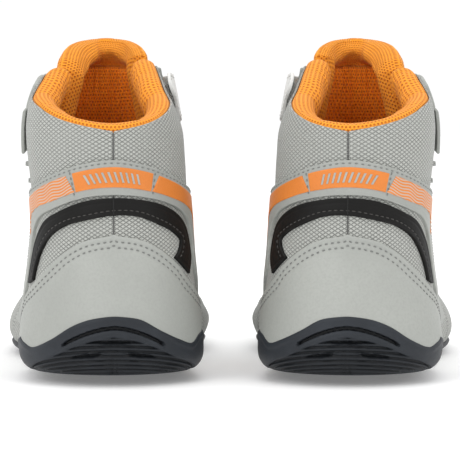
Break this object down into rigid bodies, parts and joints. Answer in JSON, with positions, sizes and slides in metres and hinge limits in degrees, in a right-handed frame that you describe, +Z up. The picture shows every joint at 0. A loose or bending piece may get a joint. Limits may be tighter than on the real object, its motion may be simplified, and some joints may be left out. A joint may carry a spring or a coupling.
{
  "type": "mid-high laced sports shoes",
  "caption": "Pair of mid-high laced sports shoes: woven grey upper, smooth heel overlay, ribbed rubber cup soles, padded orange collar and tongue, ankle strap.",
  "frame": {"origin": "on the floor, under the middle of the pair's bounding box", "axes": "+Z up, +Y towards the toes, +X towards the right shoe's outer side"},
  "size_m": [0.2278, 0.2837, 0.1604],
  "materials": {
    "rubber": "satin moulded rubber with fine ribs",
    "shank_plastic": "matt moulded plastic",
    "foam": "matt closed-cell foam",
    "board": "stitched fibre board",
    "insole_fabric": "brushed knit on foam",
    "stiffener": "matt moulded sheet",
    "woven_mesh": "light grey woven mesh with a dashed relief",
    "smooth_synthetic": "smooth light grey synthetic, fine grain, stitched edges",
    "grey_synthetic": "smooth grey synthetic with stitched edges",
    "dark_synthetic": "smooth charcoal synthetic with a soft sheen",
    "orange_synthetic": "smooth orange synthetic",
    "orange_knit": "orange spacer knit with small open cells",
    "webbing": "woven grey webbing",
    "lace_cord": "flat woven lace",
    "strap_synthetic": "smooth off-white synthetic with stitched edges",
    "hook_tape": "hook tape",
    "loop_tape": "brushed loop tape"
  },
  "bodies": {
    "left_shoe": {"left_outsole_heel": "rubber", "left_outsole_forefoot": "rubber", "left_arch_shank": "shank_plastic", "left_midsole": "foam", "left_strobel_board": "board", "left_insole": "insole_fabric", "left_heel_counter": "stiffener", "left_toe_puff": "stiffener", "left_quarter_lateral": "woven_mesh", "left_quarter_medial": "woven_mesh", "left_vamp": "woven_mesh", "left_heel_overlay": "smooth_synthetic", "left_toe_overlay": "smooth_synthetic", "left_heel_sling": "dark_synthetic", "left_ankle_band": "grey_synthetic", "left_band_inlay": "orange_synthetic", "left_eyestay_lateral": "smooth_synthetic", "left_eyestay_medial": "smooth_synthetic", "left_ear_overlay": "smooth_synthetic", "left_lace_loops": "webbing", "left_lace": "lace_cord", "left_lace_pocket": "grey_synthetic", "left_tongue": "orange_knit", "left_collar_padding": "orange_knit", "left_lining_rear": "orange_knit", "left_lining_front": "orange_knit", "left_loop_patch": "loop_tape"},
    "left_strap": {"left_ankle_strap": "strap_synthetic", "left_hook_patch": "hook_tape"},
    "right_shoe": {"right_outsole_heel": "rubber", "right_outsole_forefoot": "rubber", "right_arch_shank": "shank_plastic", "right_midsole": "foam", "right_strobel_board": "board", "right_insole": "insole_fabric", "right_heel_counter": "stiffener", "right_toe_puff": "stiffener", "right_quarter_lateral": "woven_mesh", "right_quarter_medial": "woven_mesh", "right_vamp": "woven_mesh", "right_heel_overlay": "smooth_synthetic", "right_toe_overlay": "smooth_synthetic", "right_heel_sling": "dark_synthetic", "right_ankle_band": "grey_synthetic", "right_band_inlay": "orange_synthetic", "right_eyestay_lateral": "smooth_synthetic", "right_eyestay_medial": "smooth_synthetic", "right_ear_overlay": "smooth_synthetic", "right_lace_loops": "webbing", "right_lace": "lace_cord", "right_lace_pocket": "grey_synthetic", "right_tongue": "orange_knit", "right_collar_padding": "orange_knit", "right_lining_rear": "orange_knit", "right_lining_front": "orange_knit", "right_loop_patch": "loop_tape"},
    "right_strap": {"right_ankle_strap": "strap_synthetic", "right_hook_patch": "hook_tape"}
  },
  "joints": [
    {"name": "right_shoe_slide", "type": "slide", "parent": "left_shoe", "child": "right_shoe", "axis": [1, 0, 0], "range_m": [0, 0.2]},
    {"name": "left_strap_hinge", "type": "hinge", "parent": "left_shoe", "child": "left_strap", "pos_m": [-0.09911, -0.06028, 0.11408], "axis": [0, 0, 1], "range_deg": [0, 110]},
    {"name": "right_strap_hinge", "type": "hinge", "parent": "right_shoe", "child": "right_strap", "pos_m": [0.09911, -0.06028, 0.11408], "axis": [0, 0, -1], "range_deg": [0, 110]}
  ]
}
